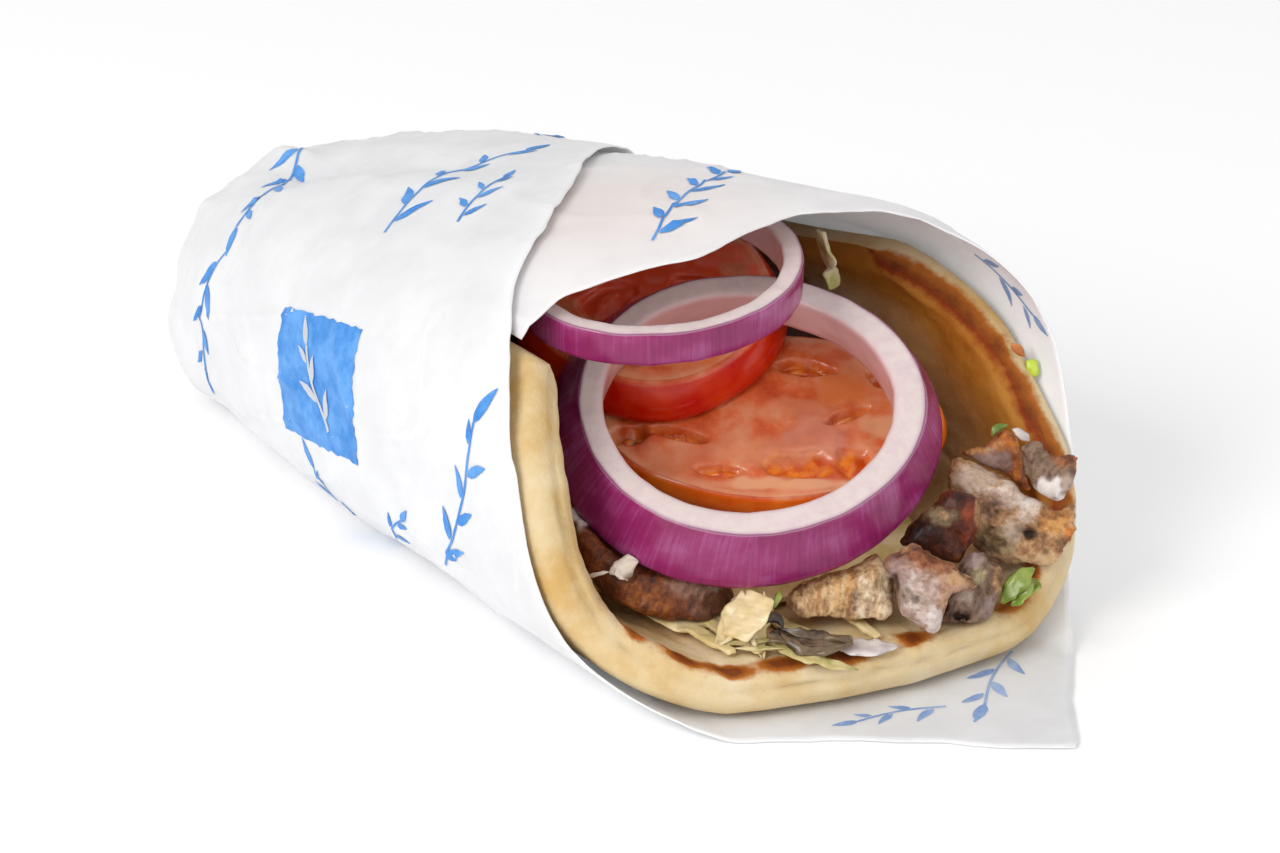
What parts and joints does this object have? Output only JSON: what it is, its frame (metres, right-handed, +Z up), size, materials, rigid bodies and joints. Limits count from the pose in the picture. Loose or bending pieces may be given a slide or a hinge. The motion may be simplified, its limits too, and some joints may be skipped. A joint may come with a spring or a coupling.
{
  "type": "gyro wrap",
  "caption": "Gyro wrap lying in its paper sheet: a folded pita open at one end with meat, lettuce, tomato slices and red onion rings.",
  "frame": {"origin": "on the paper's flat underside, in the plane where the widest part of the roll begins, about the middle of its length", "axes": "+X across the roll, +Y from the open mouth toward the closed tail, +Z up; the wrap lies on z = 0 with its mouth toward -Y"},
  "size_m": [0.1066, 0.2144, 0.0675],
  "materials": {
    "paper": "thin greaseproof sheet, white with blue motifs",
    "pita": "soft baked flatbread with toasted spots",
    "lettuce": "shredded leaf",
    "leaf": "thin leaf",
    "meat_filling": "roast meat",
    "meat_brown": "browned roast meat",
    "meat_pale": "pale roast chicken",
    "meat_grey": "sliced roast meat with sauce",
    "tomato": "wet fresh tomato",
    "onion": "glossy red onion"
  },
  "bodies": {
    "root": {"paper": "paper", "pita": "pita", "lettuce": "lettuce", "meat_filling": "meat_filling", "meat_brown_slab": "meat_brown", "meat_chicken_front": "meat_pale", "meat_sauced_middle": "meat_grey", "meat_crusted_right": "meat_grey", "meat_dark_brown": "meat_brown", "meat_long_pale": "meat_pale", "meat_grey_back": "meat_grey", "meat_crust_sliver": "meat_pale", "leaf_hanging": "leaf", "leaf_green_right": "leaf", "leaf_dark_curl": "leaf", "leaf_pale_back": "leaf", "tomato_front": "tomato", "tomato_back": "tomato", "onion_ring_large": "onion", "onion_ring_small": "onion"}
  },
  "joints": []
}
